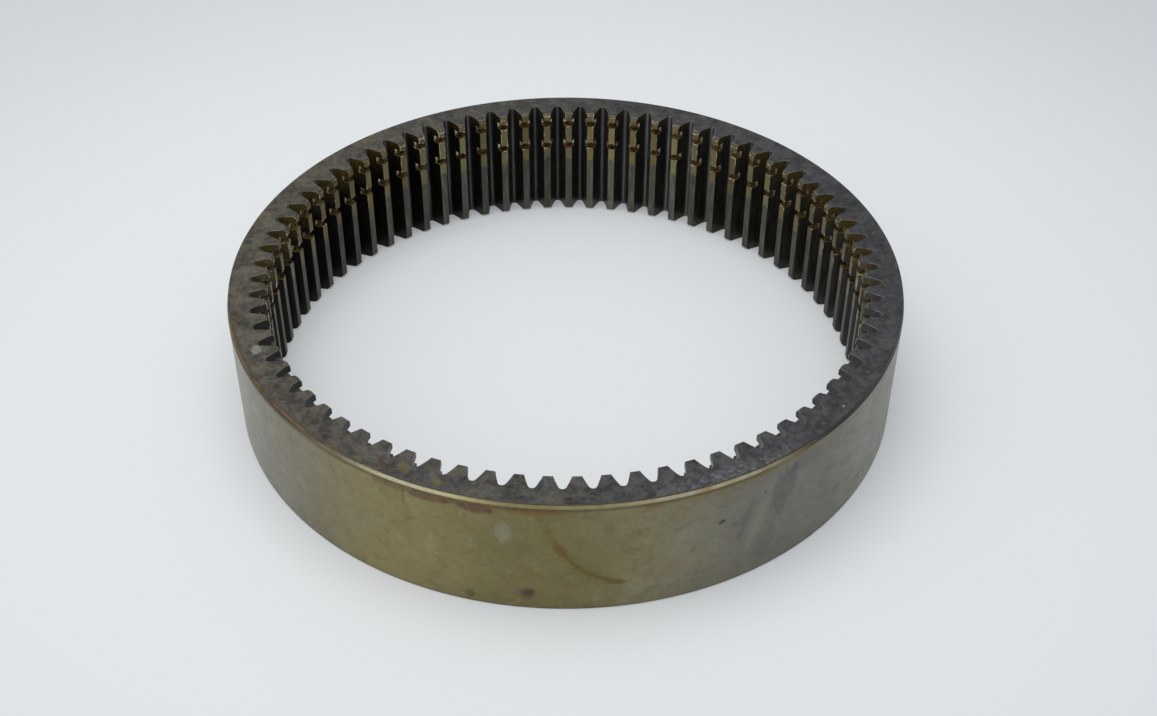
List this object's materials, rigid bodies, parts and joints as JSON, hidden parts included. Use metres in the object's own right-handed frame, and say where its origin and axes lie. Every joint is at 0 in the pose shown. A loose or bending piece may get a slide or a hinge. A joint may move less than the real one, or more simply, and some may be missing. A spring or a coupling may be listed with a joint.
{
  "type": "internal ring gear",
  "caption": "Steel ring gear with straight internal teeth all round its bore, retaining ring grooves in the tooth tips and a plain outside with lead-in edges.",
  "frame": {"origin": "on the gear axis, at the middle of the lower end face, the one away from the ring grooves", "axes": "+Z along the gear axis towards the end face near the ring grooves, +X through the middle of a tooth space"},
  "size_m": [0.33, 0.33, 0.064],
  "materials": {
    "ring_gear": "machined steel, dark oxidised faces under an oily olive-brown film, worn bright at the outer edge bevel, with light rust and oil stains"
  },
  "bodies": {
    "root": {"ring_gear": "ring_gear"}
  },
  "joints": []
}
